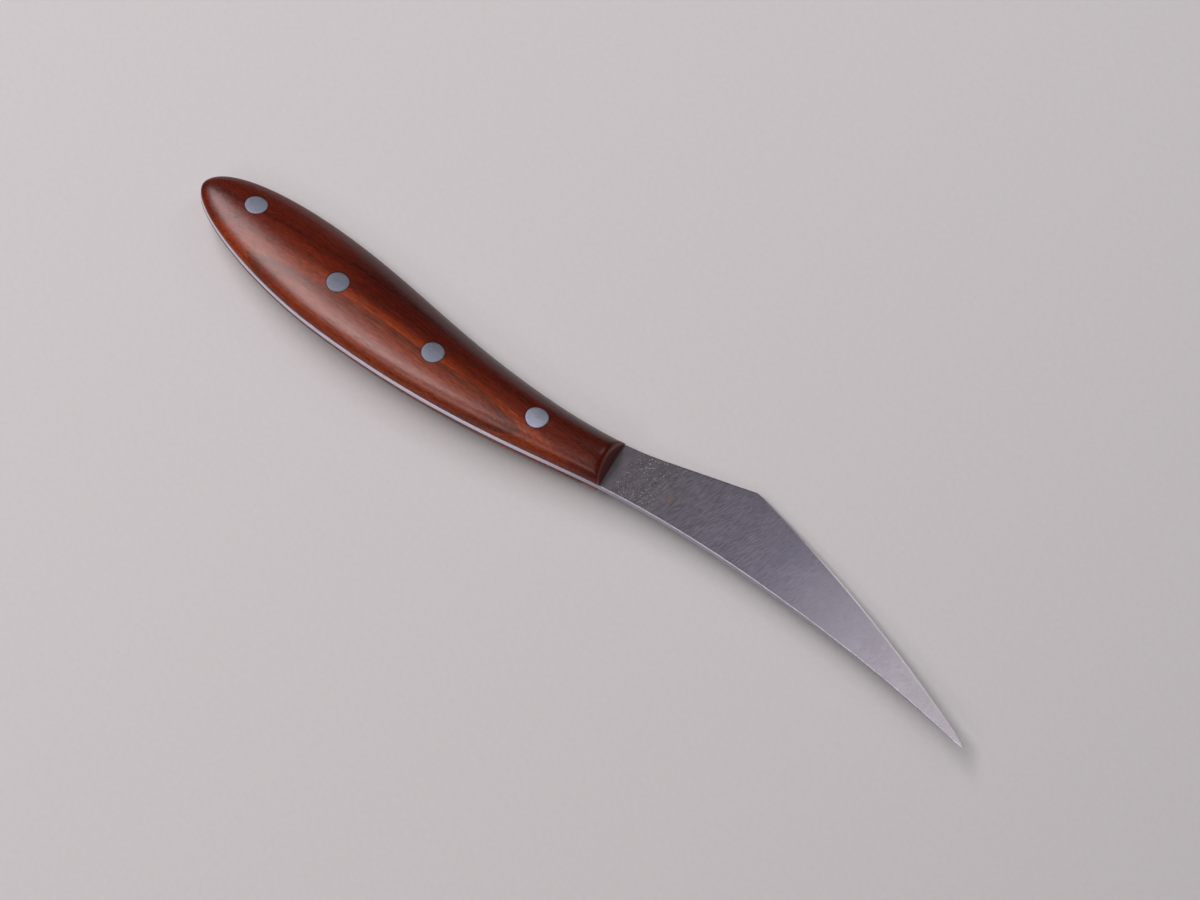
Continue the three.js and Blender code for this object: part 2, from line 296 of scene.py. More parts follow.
def drill(piece):
    """Cuts the four pin holes through a piece."""
    turn = np.linspace(0, 2 * np.pi, PIN_SIDES, endpoint=False)
    radius = PIN_RADIUS + PIN_CLEARANCE
    half_height = SCALE_FOOT + SCALE_THICKNESS + HOLE_OVERSHOOT
    points, faces = [], []
    for number in range(len(PIN_OFFSETS)):
        x, y = pin_centre(number)
        first = number * 2 * PIN_SIDES
        for z in (-half_height, half_height):
            ring = (x + radius * np.cos(turn), y + radius * np.sin(turn), np.full(PIN_SIDES, z))
            points.append(np.column_stack(ring))
        faces += [[first + corner for corner in face] for face in quads(2, PIN_SIDES, True)]
        faces.append(list(range(first, first + PIN_SIDES)))
        faces.append(list(range(first + PIN_SIDES, first + 2 * PIN_SIDES)))
    cutter = make_piece("pin_hole_cutter", np.vstack(points), faces, [])
    cut = piece.modifiers.new("holes", "BOOLEAN")
    cut.operation, cut.solver, cut.object = "DIFFERENCE", "EXACT", cutter
    drilled = piece.evaluated_get(bpy.context.evaluated_depsgraph_get())
    whole = piece.data
    piece.data = bpy.data.meshes.new_from_object(drilled)
    piece.modifiers.clear()
    bpy.data.objects.remove(cutter)
    bpy.data.meshes.remove(whole)


def smooth_but_sharp(piece, degrees):
    piece.data.shade_smooth()
    piece.data.set_sharp_from_angle(angle=math.radians(degrees))


def finish_piece(piece, node):
    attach(piece, "root")
    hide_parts(node)


# ---- Material helpers ----

class Graph:
    """A short way to write a material's nodes."""

    def __init__(self, name):
        self.material = bpy.data.materials.new(name)
        self.material.use_nodes = True
        self.tree = self.material.node_tree
        self.tree.nodes.clear()
        self.shader = self.tree.nodes.new("ShaderNodeBsdfPrincipled")
        output = self.tree.nodes.new("ShaderNodeOutputMaterial")
        self.tree.links.new(self.shader.outputs[0], output.inputs["Surface"])

    def add(self, kind, sockets, **settings):
        made = self.tree.nodes.new("ShaderNode" + kind)
        for key, value in settings.items():
            setattr(made, key, value)
        for key, value in sockets.items():
            self.feed(made.inputs[key], value)
        return made

    def feed(self, socket, value):
        if isinstance(value, bpy.types.NodeSocket):
            self.tree.links.new(value, socket)
        else:
            socket.default_value = value

    def drawing(self):
        """The point in the drawing frame, in millimetres."""
        coordinates = self.add("TexCoord", {})
        origin = np.array([
            -ORIGIN[0],
            -ORIGIN[1] * ROLL_COS + ORIGIN[2] * ROLL_SIN,
            -ORIGIN[2] * ROLL_COS - ORIGIN[1] * ROLL_SIN,
        ])
        turned = self.add("Mapping", {
            "Vector": coordinates.outputs["Object"],
            "Location": origin.tolist(),
            "Rotation": (RESTING_ROLL, 0, 0),
            "Scale": (1000, 1000, 1000),
        })
        return turned.outputs[0]

    def stretch(self, point, scale, turn=0.0, shift=(0, 0, 0)):
        turned = self.add("Mapping", {"Vector": point, "Rotation": (0, 0, turn)}).outputs[0]
        return self.add("Mapping", {"Vector": turned, "Scale": scale, "Location": shift}).outputs[0]

    def noise(self, point, detail, roughness):
        return self.add("TexNoise", {
            "Vector": point, "Scale": 1.0, "Detail": detail, "Roughness": roughness,
        }).outputs["Fac"]

    def maths(self, operation, *values):
        made = self.tree.nodes.new("ShaderNodeMath")
        made.operation = operation
        for socket, value in zip(made.inputs, values):
            self.feed(socket, value)
        return made.outputs[0]

    def ease(self, value, low, high, to_low=0.0, to_high=1.0):
        return self.add("MapRange", {
            "Value": value, "From Min": low, "From Max": high, "To Min": to_low, "To Max": to_high,
        }, interpolation_type="SMOOTHSTEP").outputs[0]

    def parts(self, point):
        return self.add("SeparateXYZ", {"Vector": point}).outputs

    def ramp(self, value, stops):
        made = self.add("ValToRGB", {"Fac": value})
        elements = made.color_ramp.elements
        for position, _ in stops[:-2]:
            elements.new(position)
        for element, (position, colour) in zip(elements, stops):
            element.position = position
            element.color = (*colour, 1)
        return made.outputs["Color"]

    def mix(self, share, a, b, blend="MIX"):
        made = self.add("Mix", {}, data_type="RGBA", blend_type=blend)
        for index, value in ((0, share), (6, a), (7, b)):
            if isinstance(value, tuple):
                value = (*value, 1)
            self.feed(made.inputs[index], value)
        return made.outputs[2]

    def tint(self, colour, other):
        """One colour times another."""
        return self.mix(1.0, colour, other, "MULTIPLY")

    def distance(self, point, other):
        return self.add("VectorMath", {0: point, 1: other}, operation="DISTANCE").outputs["Value"]

    def bump(self, height, strength, distance):
        return self.add("Bump", {"Height": height, "Strength": strength, "Distance": distance}).outputs[0]

    def set(self, **values):
        for key, value in values.items():
            self.feed(self.shader.inputs[key.replace("_", " ")], value)
        return self.material


# ---- Materials ----
# Colours are linear red, green and blue. Lengths are in millimetres.

RING_TILT = (0.038, -0.88, 1.0)  # how fast the sheets of growth rings follow each other along X, Y and Z
RING_LOW, RING_HIGH = -6.0, 16.0
# The ramp runs dark towards the finger side: partly the rings' own tones and partly painted shade on the
# side turned away from the key light.
RING_AND_SHADE_COLOURS = [  # each with its place across the sheets
    (-6.0, (0.072, 0.0073, 0.0019)),
    (-1.0, (0.082, 0.0083, 0.0019)),
    (1.6, (0.086, 0.0079, 0.0018)),
    (2.6, (0.058, 0.0059, 0.0017)),
    (3.6, (0.098, 0.0096, 0.0020)),
    (6.0, (0.135, 0.0132, 0.0027)),
    (7.2, (0.118, 0.0160, 0.0040)),
    (8.4, (0.180, 0.0240, 0.0046)),
    (10.5, (0.225, 0.0344, 0.0062)),
    (10.95, (0.118, 0.0248, 0.0093)),
    (11.15, (0.130, 0.0272, 0.0105)),
    (11.9, (0.140, 0.0250, 0.0090)),
    (12.7, (0.190, 0.0300, 0.0086)),
    (16.0, (0.215, 0.0336, 0.0062)),
]
LINE_TINTS = [(0.34, (0.74, 0.66, 0.72)), (0.47, (0.96, 0.94, 0.96)), (0.62, (1.10, 1.13, 1.06))]
STREAK_TINTS = [(0.32, (0.76, 0.68, 0.72)), (0.48, (0.98, 0.97, 0.98)), (0.66, (1.18, 1.26, 1.15))]
FIBRE_TINTS = [(0.28, (0.66, 0.58, 0.60)), (0.5, (1.0, 1.0, 1.0)), (0.72, (1.32, 1.42, 1.40))]
MOTTLE_TINTS = [(0.32, (0.78, 0.72, 0.74)), (0.5, (1.0, 1.0, 1.0)), (0.68, (1.20, 1.26, 1.22))]
WHITE = (1.0, 1.0, 1.0)
# Painted shade on the finger side of the crown, turned away from the key light.
FINGER_SIDE_SHADE = (0.52, 0.40, 0.36)
PORE_COLOUR = (0.022, 0.005, 0.003)
CURL_COLOUR = (0.085, 0.032, 0.029)
# Painted shade: a darker ring on the wood round each pin hole, and how far out it reaches.
PIN_RING_SHADE, PIN_RING_SHADE_REACH = (0.03, 0.008, 0.005), 0.45
END_GRAIN_COLOUR = (0.270, 0.085, 0.075)
LOWER_SCALE_SHIFT = 3.5  # the lower scale's figure is not quite the upper one's mirror image


def butt_curl(g, point):
    """How much of the purplish growth ring round the near side of the butt lies at a point."""
    wobble = g.noise(g.stretch(point, (0.25, 0.25, 0.25)), 2, 0.5)
    centre = g.add("VectorMath", {0: point, 1: BUTT_CURL}, operation="SUBTRACT").outputs[0]
    squeezed = g.add("VectorMath", {0: centre, 1: (1.0, 1.7, 0.3)}, operation="MULTIPLY").outputs[0]
    radius = g.add("VectorMath", {0: squeezed}, operation="LENGTH").outputs["Value"]
    radius = g.maths("MULTIPLY_ADD", wobble, 1.6, radius)
    rise = g.ease(radius, 4.2, 5.0)
    fall = g.ease(radius, 5.1, 6.2, 1.0, 0.0)
    behind = g.ease(g.parts(point)[0], 4.5, 9.5, 0.55, 0.0)
    return g.maths("MULTIPLY", g.maths("MULTIPLY", rise, fall), behind)


def round_pins(g, point):
    """Where the painted shade round the pin holes lies: 1 at a pin's rim, falling to 0 a little way out."""
    flat = g.add("VectorMath", {0: point, 1: (1, 1, 0)}, operation="MULTIPLY").outputs[0]
    nearest, *others = [g.distance(flat, (*pin_centre(number), 0)) for number in range(len(PIN_OFFSETS))]
    for away in others:
        nearest = g.maths("MINIMUM", nearest, away)
    return g.ease(nearest, PIN_RADIUS, PIN_RADIUS + PIN_RING_SHADE_REACH, 1.0, 0.0)


def front_depth(g, point):
    """How far behind the scales' front cut a point lies, along X."""
    x, y, z = g.parts(point)
    height = g.maths("SUBTRACT", g.maths("ABSOLUTE", z), SCALE_FOOT)
    cut = g.maths("MULTIPLY_ADD", y, -FRONT_FALL_Y, HANDLE_LENGTH + FRONT_FALL_Y * SPINE_START_Y)
    cut = g.maths("MULTIPLY_ADD", height, -FRONT_FALL_Z, cut)
    return g.maths("SUBTRACT", cut, x)


def wood(name, side):
    """Oiled rosewood. Its rings lie on tilted sheets, which the crown cuts into long flames."""
    g = Graph(name)
    point = g.drawing()
    if side < 0:
        turned_over = {"Vector": point, "Scale": (1, 1, -1), "Location": (LOWER_SCALE_SHIFT, 0, 0)}
        point = g.add("Mapping", turned_over).outputs[0]
    x, y, _ = g.parts(point)

    sway = g.noise(g.stretch(point, (0.022, 0.09, 0.09)), 2, 0.5)
    ripple = g.noise(g.stretch(point, (0.07, 0.5, 0.5), shift=(7, 3, 1)), 3, 0.55)
    sheets = g.add("VectorMath", {0: point, 1: RING_TILT}, operation="DOT_PRODUCT").outputs["Value"]
    ring = g.maths("ADD", sheets, g.maths("MULTIPLY_ADD", sway, 3.4, -1.7))
    ring = g.maths("ADD", ring, g.maths("MULTIPLY_ADD", ripple, 1.0, -0.5))
    share = g.add("MapRange", {"Value": ring, "From Min": RING_LOW, "From Max": RING_HIGH}).outputs[0]
    span = RING_HIGH - RING_LOW
    # Partly painted shade: the ramp's dark end falls on the finger side.
    colour = g.ramp(share, [((at - RING_LOW) / span, shade) for at, shade in RING_AND_SHADE_COLOURS])

    lines = g.noise(g.add("CombineXYZ", {"X": g.maths("MULTIPLY", ring, 2.6)}).outputs[0], 4, 0.7)
    streak = g.noise(g.stretch(point, (0.045, 1.9, 1.9), shift=(2, 9, 4)), 4, 0.65)
    fibre = g.noise(g.stretch(point, (0.30, 9.0, 9.0)), 3, 0.65)
    mottle = g.noise(g.stretch(point, (0.9, 2.6, 2.6), shift=(3, 1, 8)), 4, 0.7)
    for figure, tints in (
        (lines, LINE_TINTS), (streak, STREAK_TINTS), (fibre, FIBRE_TINTS), (mottle, MOTTLE_TINTS),
    ):
        colour = g.tint(colour, g.ramp(figure, tints))

    # Painted shade: the finger side is darkened, fading in from X 28 to 46.
    finger_side = g.ease(g.maths("MULTIPLY_ADD", ripple, 2.0, y), -2.0, 0.2)
    finger_shade = g.maths("MULTIPLY", finger_side, g.ease(x, 28.0, 46.0))
    colour = g.tint(colour, g.mix(finger_shade, WHITE, FINGER_SIDE_SHADE))

    pore = g.ease(g.noise(g.stretch(point, (0.55, 4.6, 4.6), shift=(5, 5, 5)), 1, 0.4), 0.62, 0.70)
    colour = g.mix(g.maths("MULTIPLY", pore, 0.6), colour, PORE_COLOUR)
    colour = g.mix(butt_curl(g, point), colour, CURL_COLOUR)
    # Painted shade round the pin holes.
    colour = g.mix(g.maths("MULTIPLY", round_pins(g, point), 0.6), colour, PIN_RING_SHADE)
    end_grain = g.ease(front_depth(g, point), -0.05, 0.45, 0.85, 0.0)
    colour = g.mix(end_grain, colour, END_GRAIN_COLOUR)

    height = g.maths("ADD", g.maths("MULTIPLY", fibre, 0.6), g.maths("MULTIPLY", pore, -0.5))
    wear = g.maths("ADD", fibre, g.maths("MULTIPLY", pore, 0.3))
    return g.set(
        Base_Color=colour,
        Roughness=g.ease(wear, 0.3, 0.8, 0.22, 0.33),
        Normal=g.bump(height, 0.40, 2.2e-5),
        Specular_IOR_Level=0.36,
    )


GRIND_ANGLE = math.radians(13)  # how far the cross-ground lines are turned from square to X
STEEL_FROM, STEEL_TO = 100.0, 200.0
# Dark by the handle and pale towards the tip: partly the ground steel's own tone and partly a painted
# reflection of the lights.
STEEL_TONES_AND_SHEEN = [  # each with its X
    (100, (0.176, 0.162, 0.180)),
    (125, (0.190, 0.178, 0.213)),
    (145, (0.214, 0.205, 0.256)),
    (165, (0.359, 0.344, 0.400)),
    (180, (0.479, 0.448, 0.494)),
    (200, (0.630, 0.585, 0.630)),
]
SPECK_DARK, SPECK_BRIGHT = (0.085, 0.079, 0.070), (0.80, 0.78, 0.72)
TARNISH_COLOUR = (0.34, 0.20, 0.12)


def blade_face():
    """Cross-ground steel: darker, mottled and speckled by the handle, pale towards the tip; the run from
    dark to pale is partly the steel's own tone and partly a painted reflection.
    """
    g = Graph("blade_face")
    point = g.drawing()
    x = g.parts(point)[0]
    grooves = g.ease(g.noise(g.stretch(point, (6.4, 0.50, 0.50), GRIND_ANGLE), 2, 0.55), 0.34, 0.66)
    fine = g.noise(g.stretch(point, (11.0, 0.9, 0.9), GRIND_ANGLE), 2, 0.6)
    clouds = g.noise(g.stretch(point, (0.16, 0.16, 0.16)), 3, 0.55)
    grit = g.noise(g.stretch(point, (2.6, 2.6, 2.6), shift=(4, 2, 0)), 3, 0.65)
    share = g.add("MapRange", {"Value": x, "From Min": STEEL_FROM, "From Max": STEEL_TO}).outputs[0]
    span = STEEL_TO - STEEL_FROM
    # Partly a painted reflection: the steel grows pale towards the tip.
    tone_and_sheen = g.ramp(share, [((at - STEEL_FROM) / span, shade) for at, shade in STEEL_TONES_AND_SHEEN])

    fade = g.ease(x, 138.0, 180.0, 1.0, 0.22)
    begin = g.ease(x, 109.0, 117.0, 0.35, 1.0)
    ground = g.maths("MULTIPLY", fade, begin)
    lines = g.maths("MULTIPLY", g.maths("SUBTRACT", grooves, 0.5), ground)
    light = g.maths("MULTIPLY_ADD", lines, 0.46, 1.0)
    for figure, strength in ((fine, 0.35), (grit, 0.30), (clouds, 0.28)):
        light = g.maths("MULTIPLY_ADD", g.maths("SUBTRACT", figure, 0.5), strength, light)
    grey = g.add("CombineXYZ", {"X": light, "Y": light, "Z": light}).outputs[0]
    colour = g.tint(tone_and_sheen, grey)

    specks = g.noise(g.stretch(point, (3.6, 3.6, 3.6)), 2, 0.7)
    blots = g.noise(g.stretch(point, (0.9, 0.9, 0.9), shift=(1, 6, 2)), 2, 0.5)
    patch = g.maths("MULTIPLY", g.ease(x, 107.5, 110.0), g.ease(x, 113.0, 121.0, 1.0, 0.0))
    dark = g.maths("MULTIPLY", g.ease(specks, 0.48, 0.34), patch)
    gathered = g.maths("MULTIPLY", patch, g.ease(blots, 0.35, 0.6))
    bright = g.maths("MULTIPLY", g.ease(specks, 0.60, 0.68), gathered)
    colour = g.mix(g.maths("MULTIPLY", dark, 0.6), colour, SPECK_DARK)
    colour = g.mix(bright, colour, SPECK_BRIGHT)

    spot = g.maths("MULTIPLY_ADD", blots, 1.6, g.distance(point, TARNISH))
    colour = g.mix(g.ease(spot, 0.7, 2.1, 0.6, 0.0), colour, TARNISH_COLOUR)

    rough = g.maths("MULTIPLY_ADD", grooves, 0.10, 0.33)
    height = g.maths("MULTIPLY_ADD", lines, 0.6, g.maths("MULTIPLY", fine, 0.3))
    return g.set(
        Base_Color=colour, Metallic=1.0, Roughness=rough,
        Normal=g.bump(height, 0.3, 1.4e-5),
    )


RIM_DULL, RIM_BRIGHT = (0.80, 0.765, 0.90), (0.93, 0.90, 1.0)
RIM_PAST_HANDLE, RIM_SCRATCH = (0.45, 0.435, 0.505), (0.35, 0.31, 0.35)


def blade_rim():
    """The steel's narrow sides: the spine, the neck and the tang's rim between the scales."""
    g = Graph("blade_rim")
    point = g.drawing()
    scratches = g.noise(g.stretch(point, (0.5, 9.0, 9.0)), 3, 0.6)
    clouds = g.noise(g.stretch(point, (0.12, 0.5, 0.5)), 2, 0.5)
    colour = g.mix(clouds, RIM_DULL, RIM_BRIGHT)
    colour = g.mix(g.ease(g.parts(point)[0], 84.0, 112.0), colour, RIM_PAST_HANDLE)
    colour = g.mix(g.ease(scratches, 0.55, 0.4, 0.0, 0.3), colour, RIM_SCRATCH)
    return g.set(
        Base_Color=colour, Metallic=1.0, Roughness=g.ease(scratches, 0.3, 0.7, 0.28, 0.44),
        Normal=g.bump(scratches, 0.3, 1.0e-5),
    )


# The hone's pale colours are partly a painted highlight, and its darker colour by the heel is painted
# shade.
HONE_DULL, HONE_BRIGHT, HONE_SHADE_BY_HEEL = (0.88, 0.84, 0.87), (0.96, 0.93, 0.95), (0.36, 0.345, 0.41)


def blade_hone():
    """The honed bevel at the cutting edge, with painted shade by the heel and pale towards the tip, partly
    a painted highlight.
    """
    g = Graph("blade_hone")
    point = g.drawing()
    scratches = g.noise(g.stretch(point, (3.0, 0.6, 0.6), GRIND_ANGLE), 2, 0.5)
    colour = g.mix(scratches, HONE_DULL, HONE_BRIGHT)
    # Painted shade by the heel.
    colour = g.mix(g.ease(g.parts(point)[0], 138.0, 158.0, 1.0, 0.0), colour, HONE_SHADE_BY_HEEL)
    return g.set(
        Base_Color=colour, Metallic=1.0, Roughness=g.ease(scratches, 0.3, 0.7, 0.34, 0.40),
        Normal=g.bump(scratches, 0.05, 4e-6),
    )


PIN_LIGHT, PIN_DARK, PIN_WORN = (0.40, 0.448, 0.545), (0.27, 0.304, 0.383), (0.24, 0.256, 0.322)
PIN_SHADE_GAINS = (0.78, 0.52, 0.59, 0.90)  # each pin's colours are scaled on their own: painted light and shade for how brightly each pin's end catches the light
PIN_SCRATCH_TURNS = (0.9, -0.7, 0.35, -0.2)
PIN_SCRATCH_STEP = 7.3  # so that no two pins are scratched alike


def pin_steel(number):
    """A pin's sanded end, scratched one way."""
    g = Graph(f"pin_steel_{number + 1}")
    point = g.drawing()
    turn, shift = PIN_SCRATCH_TURNS[number], (number * PIN_SCRATCH_STEP, 0, 0)
    scratches = g.noise(g.stretch(point, (0.6, 8.0, 0.6), turn, shift), 3, 0.65)
    mottle = g.noise(g.stretch(point, (1.3, 1.3, 1.3)), 3, 0.6)
    # Painted light and shade: each pin's colours are scaled by its own gain.
    light, dark, worn = (
        tuple(PIN_SHADE_GAINS[number] * part for part in tint) for tint in (PIN_LIGHT, PIN_DARK, PIN_WORN)
    )
    colour = g.mix(g.ease(scratches, 0.35, 0.65), dark, light)
    colour = g.mix(g.ease(mottle, 0.55, 0.7, 0.0, 0.35), colour, worn)
    return g.set(
        Base_Color=colour, Metallic=1.0, Roughness=g.ease(scratches, 0.3, 0.7, 0.54, 0.66),
        Normal=g.bump(scratches, 0.35, 1.2e-5),
    )


EPOXY_DARK, EPOXY_LIGHT = (0.030, 0.014, 0.010), (0.065, 0.032, 0.022)


def epoxy():
    """Cured glue, brown and a little cloudy."""
    g = Graph("epoxy")
    point = g.drawing()
    mottle = g.noise(g.stretch(point, (0.8, 0.8, 0.8)), 3, 0.6)
    colour = g.mix(mottle, EPOXY_DARK, EPOXY_LIGHT)
    return g.set(Base_Color=colour, Roughness=g.ease(mottle, 0.3, 0.7, 0.4, 0.6))


# ---- Pieces ----

def blade_and_tang():
    """The steel in one piece, with softened long edges and a honed bevel at the cutting edge."""
    handle_end = HANDLE_LENGTH + NECK_BLEND
    handle = handle_end * np.linspace(0, 1, HANDLE_STATIONS) ** BUTT_CROWDING
    neck = np.linspace(handle_end, HEEL_X, NECK_STATIONS)[1:]
    chamfer = np.linspace(HEEL_X, EDGE_START_X, CHAMFER_STATIONS)[1:]
    edge = np.linspace(EDGE_START_X, EDGE_END_X, BLADE_STATIONS)[1:]
    nose = EDGE_END_X + NOSE_LENGTH * np.sin(np.linspace(0, np.pi / 2, NOSE_STATIONS)[1:])
    x = np.concatenate([handle, neck, chamfer, edge, nose])[:, None]
    spine, outer = spine_y(x), outer_y(x)
    width = outer - spine
    steps = np.linspace(0, 1, ARRIS_STEPS + 1)[None, :]
    turn = steps * np.pi / 2

    arris = np.minimum(ARRIS, SMALL_SHARE * width)
    from_spine = arris * (1 - np.cos(turn))
    drop_spine = arris * (1 - np.sin(turn))

    cutting = smooth_step(x, HEEL_X - HONE_LEAD, EDGE_START_X + 2 * HONE_LEAD)
    edge_half = steel_half(x, outer)
    edge_arris = np.minimum(arris, THIN_SHARE * edge_half)
    hone = np.minimum(HONE_WIDTH, SMALL_SHARE * width)
    back_round = edge_arris * (1 - np.cos(turn))
    back_straight = hone * steps
    from_edge = (1 - cutting) * back_round + cutting * back_straight

    inner = np.linspace(0, 1, FACE_STEPS + 1)[None, 1:-1]
    start, end = spine + from_spine[:, -1:], outer - from_edge[:, -1:]
    y = np.hstack([spine + from_spine, start + (end - start) * inner, (outer - from_edge)[:, ::-1]])
    z = steel_half(x, y)
    z[:, :ARRIS_STEPS + 1] -= np.minimum(drop_spine, THIN_SHARE * z[:, :ARRIS_STEPS + 1])
    round_z = z[:, -ARRIS_STEPS - 1:] - edge_arris * (1 - np.sin(turn))[:, ::-1]
    top_z = z[:, -ARRIS_STEPS - 1:-ARRIS_STEPS]
    bevel_z = top_z + (HONED_EDGE - top_z) * steps
    z[:, -ARRIS_STEPS - 1:] = (1 - cutting) * round_z + cutting * bevel_z
    z = np.maximum(z, HONED_EDGE)
    z[-1] = HONED_EDGE  # the last station has no width, and one height lets it merge into a closed tip

    upper = np.stack([np.broadcast_to(x, y.shape), y, z], axis=-1)
    lower = (upper * (1, 1, -1))[:, ::-1]
    rings = np.concatenate([upper, lower], axis=1)
    rows, columns = rings.shape[:2]
    faces = quads(rows, columns, True)
    half = columns // 2

    # Which faces are the narrow sides (material 1) and the hone (material 2), and not the flats (0)
    step = np.tile(np.arange(columns), rows - 1)
    mirrored = np.where(step >= half, columns - 2 - step, step)
    middle_x = np.repeat((x[1:, 0] + x[:-1, 0]) / 2, columns)
    rim = (step == columns - 1) | (mirrored < ARRIS_STEPS)
    at_edge = (step == half - 1) | (mirrored >= half - 1 - ARRIS_STEPS) & (step != columns - 1)
    indices = np.zeros(len(faces), np.int32)
    indices[rim] = 1
    indices[at_edge & (middle_x < HEEL_X)] = 1
    indices[at_edge & (middle_x >= HEEL_X)] = 2
    piece = make_piece("blade_with_tang", rings.reshape(-1, 3), faces,
                       [blade_face(), blade_rim(), blade_hone()], indices)
    drill(piece)
    smooth_but_sharp(piece, 40)
    finish_piece(piece, "blade_and_tang")


def scale(name, side, node, material):
    """A wooden scale: a crown lofted from butt to front, a leaning front facet with a softened rim."""
    across = -np.cos(np.linspace(0, np.pi, CROWN_STEPS + 1))[None, :]
    rim_x = np.full(across.shape, float(HANDLE_LENGTH))
    for _ in range(SETTLING_ROUNDS):
        rim_x = front_x(*crown_point(rim_x, across))
    rim_y, rim_z = crown_point(rim_x, across)
    drop = rim_z - SCALE_FOOT
    soft = np.minimum(RIM_SOFTNESS, RIM_SHARE * drop)

    share = np.linspace(0, 1, HANDLE_STATIONS)[:, None] ** BUTT_CROWDING
    body_x = share * (rim_x - soft)
    body_y, body_z = crown_point(body_x, across)
    body = np.stack([body_x, body_y, body_z], axis=-1)

    rim = np.stack([rim_x, rim_y, rim_z], axis=-1)[0]
    foot = np.stack([front_x(rim_y, SCALE_FOOT), rim_y, np.full(rim_y.shape, SCALE_FOOT)], axis=-1)[0]
    height = np.linalg.norm(foot - rim, axis=1)
    down = (foot - rim) / np.maximum(height, NO_HEIGHT)[:, None]
    start, end = body[-1], rim + down * soft[0][:, None]
    bend = [
        (1 - t) ** 2 * start + 2 * t * (1 - t) * rim + t * t * end
        for t in np.linspace(0, 1, RIM_STEPS + 1)[1:]
    ]
    facet = [end + (foot - end) * t for t in np.linspace(0, 1, FACET_STEPS + 1)[1:]]
    rings = np.concatenate([body, np.array(bend), np.array(facet)])

    rows, columns = rings.shape[:2]
    faces = quads(rows, columns, False)
    for row in range(rows - 2):
        here, after = row * columns, (row + 1) * columns
        faces.append([here, here + columns - 1, after + columns - 1, after])
    here, after = (rows - 2) * columns, (rows - 1) * columns
    faces.append([here, here + columns - 1, *range(after + columns - 1, after - 1, -1)])
    points = rings.reshape(-1, 3) * (1, 1, side)
    piece = make_piece(name, points, faces, [material])
    drill(piece)
    smooth_but_sharp(piece, 35)
    finish_piece(piece, node)


def film(name, side, node, material):
    """A thin sheet of cured epoxy between the tang and a scale."""
    share = np.linspace(0, 1, HANDLE_STATIONS)[:, None] ** BUTT_CROWDING
    ends = np.full(2, float(HANDLE_LENGTH))
    for _ in range(SETTLING_ROUNDS):
        ends = front_x(np.array([spine_y(ends[0]), outer_y(ends[1])]), SCALE_FOOT)
    x = share * ends
    y = np.column_stack([spine_y(x[:, 0]), outer_y(x[:, 1])])
    inset = np.minimum(FILM_INSET, (y[:, 1] - y[:, 0]) / 10)
    y[:, 0] += inset
    y[:, 1] -= inset
    low, high = FILM_TOP - FILM_THICKNESS, FILM_TOP
    corners = [(0, low), (1, low), (1, high), (0, high)]
    rings = np.stack([
        np.column_stack([x[:, k], y[:, k], np.full(HANDLE_STATIONS, z * side)]) for k, z in corners
    ], axis=1)
    last = (HANDLE_STATIONS - 1) * 4
    faces = quads(HANDLE_STATIONS, 4, True) + [[last, last + 1, last + 2, last + 3], [3, 2, 1, 0]]
    piece = make_piece(name, rings.reshape(-1, 3), faces, [material])
    drill(piece)
    smooth_but_sharp(piece, 30)
    finish_piece(piece, node)


def pin(number):
    """A through pin whose ends follow the crowns, with a softly rounded rim."""
    centre = pin_centre(number)
    turn = np.linspace(0, 2 * np.pi, PIN_SIDES, endpoint=False)
    flat = PIN_RADIUS - PIN_SOFTNESS
    rim_turn = np.linspace(0, np.pi / 2, PIN_RIM_STEPS + 1)[1:]
    radii = [*np.linspace(0, flat, PIN_FACE_STEPS), *(flat + PIN_SOFTNESS * np.sin(rim_turn))]
    drops = [*np.zeros(PIN_FACE_STEPS), *(PIN_DISHING * PIN_SOFTNESS * (1 - np.cos(rim_turn)))]
    rings = []
    for side in (1, -1):
        face = []
        for radius, drop in zip(radii, drops):
            x = centre[0] + radius * np.cos(turn)
            y = centre[1] + radius * np.sin(turn)
            face.append(np.column_stack([x, y, side * (crown_height(x, y) - drop)]))
        rings += face if side > 0 else face[::-1]
    rings = np.array(rings)
    faces = quads(len(rings), PIN_SIDES, True)
    piece = make_piece(f"pin_{number + 1}", rings.reshape(-1, 3), faces, [pin_steel(number)])
    smooth_but_sharp(piece, 50)
    finish_piece(piece, f"handle_pin_{number + 1}")


# ---- Stage, light and camera ----

FLOOR_REACH = 4.0
WEAVE = 900  # of the floor's fine weave, in waves per metre
FLOOR_DARK, FLOOR_LIGHT = (0.545, 0.56, 0.565), (0.595, 0.61, 0.615)


def floor():
    """A plain pale floor under the knife."""
    mesh = bpy.data.meshes.new("floor")
    corners = [(x * FLOOR_REACH, y * FLOOR_REACH, 0) for x, y in ((-1, -1), (1, -1), (1, 1), (-1, 1))]
    mesh.from_pydata(corners, [], [(0, 1, 2, 3)])
    g = Graph("floor")
    coordinates = g.add("TexCoord", {}).outputs["Object"]
    fine = g.add("Mapping", {"Vector": coordinates, "Scale": (WEAVE, WEAVE, WEAVE)}).outputs[0]
    weave = g.noise(fine, 2, 0.6)
    colour = g.mix(weave, FLOOR_DARK, FLOOR_LIGHT)
    mesh.materials.append(g.set(Base_Color=colour, Roughness=0.85, Specular_IOR_Level=0.2))
    made = bpy.data.objects.new("floor", mesh)
    bpy.context.scene.collection.objects.link(made)


def drawn_direction(x, y, z):
    """A direction in the drawing frame, turned into the CAD frame."""
    return Vector((x, y * ROLL_COS + z * ROLL_SIN, z * ROLL_COS - y * ROLL_SIN)).normalized()


